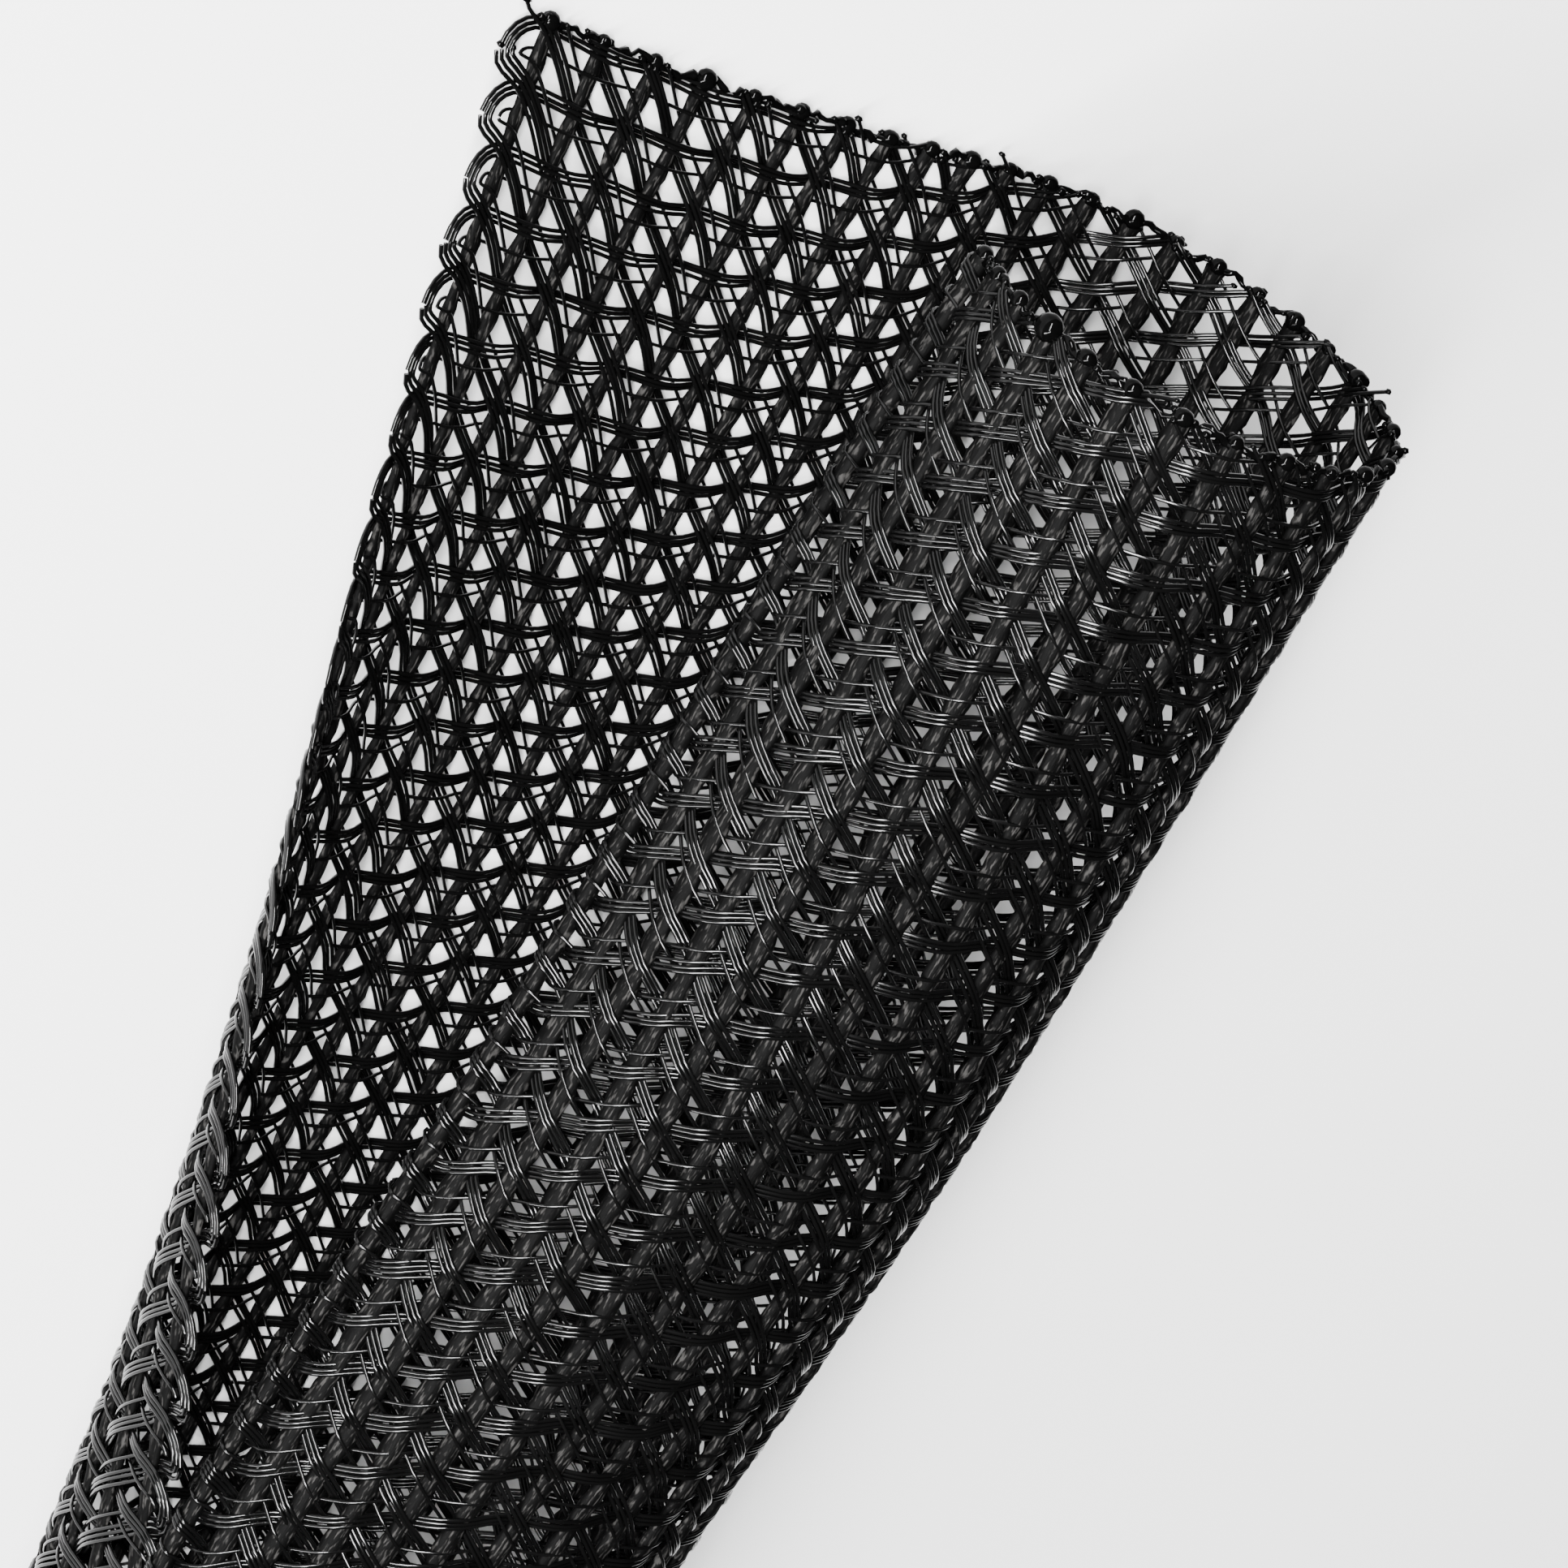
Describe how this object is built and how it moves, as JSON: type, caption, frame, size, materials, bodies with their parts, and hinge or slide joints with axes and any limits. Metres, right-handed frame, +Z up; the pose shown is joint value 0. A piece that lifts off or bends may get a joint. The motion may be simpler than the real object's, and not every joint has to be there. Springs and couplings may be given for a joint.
{
  "type": "braided cable sleeve",
  "caption": "Self-wrapping split sleeve of black plastic braid with lengthwise yarns, lying with one end opened flat and the rest rolled closed",
  "frame": {"origin": "middle of the sleeve's bounding box, on the surface it lies on", "axes": "+Y along the sleeve from the opened cut end to the closed one, +X towards the opened wing, +Z up"},
  "size_m": [0.073, 0.3076, 0.0451],
  "materials": {
    "braid": "glossy black plastic monofilament strands, open braid",
    "yarn": "matte black lengthwise yarns with loose fibres"
  },
  "bodies": {
    "root": {"braided_sleeve": "braid"}
  },
  "joints": []
}
